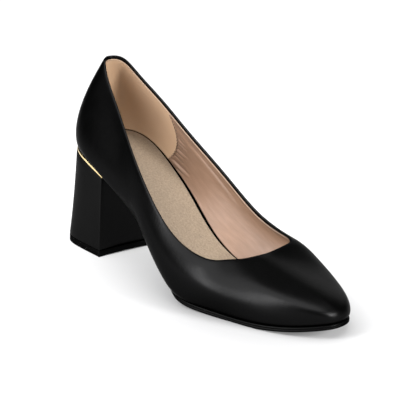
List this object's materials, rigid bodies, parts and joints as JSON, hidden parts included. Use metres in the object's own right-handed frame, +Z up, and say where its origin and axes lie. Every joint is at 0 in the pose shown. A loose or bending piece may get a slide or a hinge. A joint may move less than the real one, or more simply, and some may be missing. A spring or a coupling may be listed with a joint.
{
  "type": "block heel court shoe",
  "caption": "Smooth black leather court shoe with an almond toe and low-cut topline, on a covered block heel with a thin gold band; beige lining and insole. Right shoe.",
  "frame": {"origin": "centre of the shoe's box, on the floor", "axes": "+X towards the toe, +Y to the wearer's left, +Z up"},
  "size_m": [0.2454, 0.089, 0.1276],
  "materials": {
    "upper_leather": "smooth black leather, semi-gloss, fine grain",
    "insole_cover": "pearl beige, fine pebble grain",
    "sole_rubber": "matt black rubber, fine tread",
    "heel_cover": "smooth black leather stretched over the block",
    "heel_band_metal": "polished pale gold",
    "top_piece_rubber": "dense black rubber",
    "quarter_lining": "pinkish beige lining leather, slightly glossy",
    "heel_lining": "tan suede heel grip lining"
  },
  "bodies": {
    "root": {"upper": "upper_leather", "insole": "insole_cover", "outsole": "sole_rubber", "heel": "heel_cover", "heel_trim": "heel_band_metal", "heel_tip": "top_piece_rubber"}
  },
  "joints": []
}
